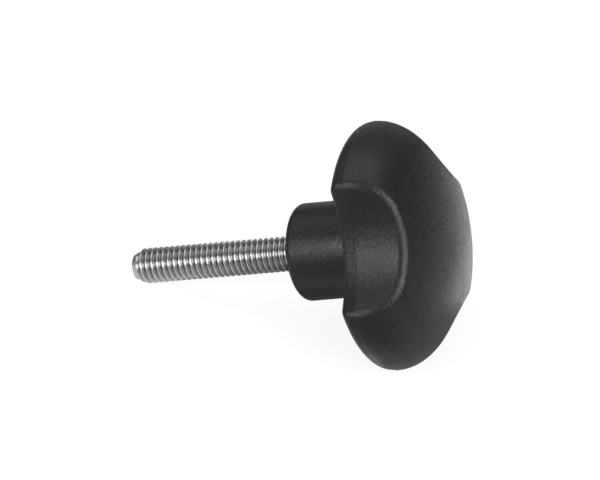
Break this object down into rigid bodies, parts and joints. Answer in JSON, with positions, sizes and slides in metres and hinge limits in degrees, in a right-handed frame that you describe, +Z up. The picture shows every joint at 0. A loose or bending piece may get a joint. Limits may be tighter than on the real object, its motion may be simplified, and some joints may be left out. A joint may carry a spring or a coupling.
{
  "type": "star knob",
  "caption": "Moulded black star knob with a smooth lobed dome grip, scooped flutes and a round hub, which turns a threaded steel stud to clamp parts by hand.",
  "frame": {"origin": "on the ground under the middle of the knob as it lies at rest on two lobes and the stud's tip", "axes": "+Z up; the stud points along -X and a little down, the dome along +X and a little up; the knob is symmetric about Y = 0"},
  "size_m": [0.0562, 0.041, 0.0367],
  "materials": {
    "black_plastic": "matte black with a fine moulded grain",
    "stainless_steel": "bright turned stainless steel"
  },
  "bodies": {
    "root": {"knob_head": "black_plastic", "threaded_stud": "stainless_steel"}
  },
  "joints": []
}
